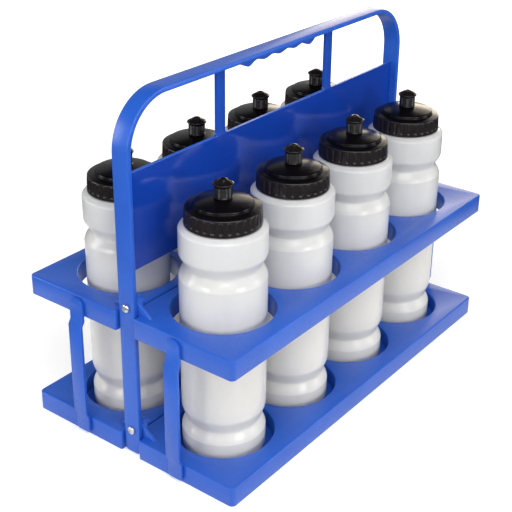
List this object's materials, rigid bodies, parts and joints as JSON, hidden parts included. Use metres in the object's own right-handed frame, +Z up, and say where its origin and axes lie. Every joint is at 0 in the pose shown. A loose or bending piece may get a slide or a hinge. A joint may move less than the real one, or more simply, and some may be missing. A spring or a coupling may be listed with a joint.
{
  "type": "bottle carrier",
  "caption": "Folding bottle carrier: an arched frame with a finger-ribbed handle and a web, hinged drilled trays that side links keep level, and squeeze bottles with push-pull caps.",
  "frame": {"origin": "centre of the footprint, on the surface that the lower trays stand on", "axes": "+X along the carrier, +Y across it from the front row of bottles to the back row, +Z up to the handle"},
  "size_m": [0.4174, 0.227, 0.3215],
  "materials": {
    "blue_plastic": "satin blue moulded plastic, glossier on the flat web",
    "pearl_polyethylene": "pearly white soft plastic that lets some light through",
    "black_plastic": "satin black moulded plastic",
    "zinc_steel": "bright zinc plating"
  },
  "bodies": {
    "carrier": {"handle_frame": "blue_plastic", "front_upper_tray": "blue_plastic", "front_lower_tray": "blue_plastic", "back_upper_tray": "blue_plastic", "back_lower_tray": "blue_plastic", "front_near_link": "blue_plastic", "front_far_link": "blue_plastic", "back_near_link": "blue_plastic", "back_far_link": "blue_plastic", "hinge_screw_near_upper": "zinc_steel", "hinge_screw_near_lower": "zinc_steel", "hinge_screw_far_upper": "zinc_steel", "hinge_screw_far_lower": "zinc_steel"},
    "bottle_front_1": {"bottle_front_1": "pearl_polyethylene"},
    "cap_front_1": {"cap_front_1": "black_plastic"},
    "spout_front_1": {"spout_front_1": "black_plastic"},
    "bottle_front_2": {"bottle_front_2": "pearl_polyethylene"},
    "cap_front_2": {"cap_front_2": "black_plastic"},
    "spout_front_2": {"spout_front_2": "black_plastic"},
    "bottle_front_3": {"bottle_front_3": "pearl_polyethylene"},
    "cap_front_3": {"cap_front_3": "black_plastic"},
    "spout_front_3": {"spout_front_3": "black_plastic"},
    "bottle_front_4": {"bottle_front_4": "pearl_polyethylene"},
    "cap_front_4": {"cap_front_4": "black_plastic"},
    "spout_front_4": {"spout_front_4": "black_plastic"},
    "bottle_back_1": {"bottle_back_1": "pearl_polyethylene"},
    "cap_back_1": {"cap_back_1": "black_plastic"},
    "spout_back_1": {"spout_back_1": "black_plastic"},
    "bottle_back_2": {"bottle_back_2": "pearl_polyethylene"},
    "cap_back_2": {"cap_back_2": "black_plastic"},
    "spout_back_2": {"spout_back_2": "black_plastic"},
    "bottle_back_3": {"bottle_back_3": "pearl_polyethylene"},
    "cap_back_3": {"cap_back_3": "black_plastic"},
    "spout_back_3": {"spout_back_3": "black_plastic"},
    "bottle_back_4": {"bottle_back_4": "pearl_polyethylene"},
    "cap_back_4": {"cap_back_4": "black_plastic"},
    "spout_back_4": {"spout_back_4": "black_plastic"}
  },
  "joints": [
    {"name": "bottle_front_1_lift", "type": "slide", "parent": "carrier", "child": "bottle_front_1", "axis": [0, 0, 1], "range_m": [0, 0.16]},
    {"name": "cap_front_1_removal", "type": "slide", "parent": "bottle_front_1", "child": "cap_front_1", "axis": [0, 0, 1], "range_m": [0, 0.04]},
    {"name": "spout_front_1_pull", "type": "slide", "parent": "cap_front_1", "child": "spout_front_1", "axis": [0, 0, 1], "range_m": [0, 0.004]},
    {"name": "bottle_front_2_lift", "type": "slide", "parent": "carrier", "child": "bottle_front_2", "axis": [0, 0, 1], "range_m": [0, 0.16]},
    {"name": "cap_front_2_removal", "type": "slide", "parent": "bottle_front_2", "child": "cap_front_2", "axis": [0, 0, 1], "range_m": [0, 0.04]},
    {"name": "spout_front_2_pull", "type": "slide", "parent": "cap_front_2", "child": "spout_front_2", "axis": [0, 0, 1], "range_m": [0, 0.004]},
    {"name": "bottle_front_3_lift", "type": "slide", "parent": "carrier", "child": "bottle_front_3", "axis": [0, 0, 1], "range_m": [0, 0.16]},
    {"name": "cap_front_3_removal", "type": "slide", "parent": "bottle_front_3", "child": "cap_front_3", "axis": [0, 0, 1], "range_m": [0, 0.04]},
    {"name": "spout_front_3_pull", "type": "slide", "parent": "cap_front_3", "child": "spout_front_3", "axis": [0, 0, 1], "range_m": [0, 0.004]},
    {"name": "bottle_front_4_lift", "type": "slide", "parent": "carrier", "child": "bottle_front_4", "axis": [0, 0, 1], "range_m": [0, 0.16]},
    {"name": "cap_front_4_removal", "type": "slide", "parent": "bottle_front_4", "child": "cap_front_4", "axis": [0, 0, 1], "range_m": [0, 0.04]},
    {"name": "spout_front_4_pull", "type": "slide", "parent": "cap_front_4", "child": "spout_front_4", "axis": [0, 0, 1], "range_m": [0, 0.004]},
    {"name": "bottle_back_1_lift", "type": "slide", "parent": "carrier", "child": "bottle_back_1", "axis": [0, 0, 1], "range_m": [0, 0.16]},
    {"name": "cap_back_1_removal", "type": "slide", "parent": "bottle_back_1", "child": "cap_back_1", "axis": [0, 0, 1], "range_m": [0, 0.04]},
    {"name": "spout_back_1_pull", "type": "slide", "parent": "cap_back_1", "child": "spout_back_1", "axis": [0, 0, 1], "range_m": [0, 0.004]},
    {"name": "bottle_back_2_lift", "type": "slide", "parent": "carrier", "child": "bottle_back_2", "axis": [0, 0, 1], "range_m": [0, 0.16]},
    {"name": "cap_back_2_removal", "type": "slide", "parent": "bottle_back_2", "child": "cap_back_2", "axis": [0, 0, 1], "range_m": [0, 0.04]},
    {"name": "spout_back_2_pull", "type": "slide", "parent": "cap_back_2", "child": "spout_back_2", "axis": [0, 0, 1], "range_m": [0, 0.004]},
    {"name": "bottle_back_3_lift", "type": "slide", "parent": "carrier", "child": "bottle_back_3", "axis": [0, 0, 1], "range_m": [0, 0.16]},
    {"name": "cap_back_3_removal", "type": "slide", "parent": "bottle_back_3", "child": "cap_back_3", "axis": [0, 0, 1], "range_m": [0, 0.04]},
    {"name": "spout_back_3_pull", "type": "slide", "parent": "cap_back_3", "child": "spout_back_3", "axis": [0, 0, 1], "range_m": [0, 0.004]},
    {"name": "bottle_back_4_lift", "type": "slide", "parent": "carrier", "child": "bottle_back_4", "axis": [0, 0, 1], "range_m": [0, 0.16]},
    {"name": "cap_back_4_removal", "type": "slide", "parent": "bottle_back_4", "child": "cap_back_4", "axis": [0, 0, 1], "range_m": [0, 0.04]},
    {"name": "spout_back_4_pull", "type": "slide", "parent": "cap_back_4", "child": "spout_back_4", "axis": [0, 0, 1], "range_m": [0, 0.004]}
  ]
}
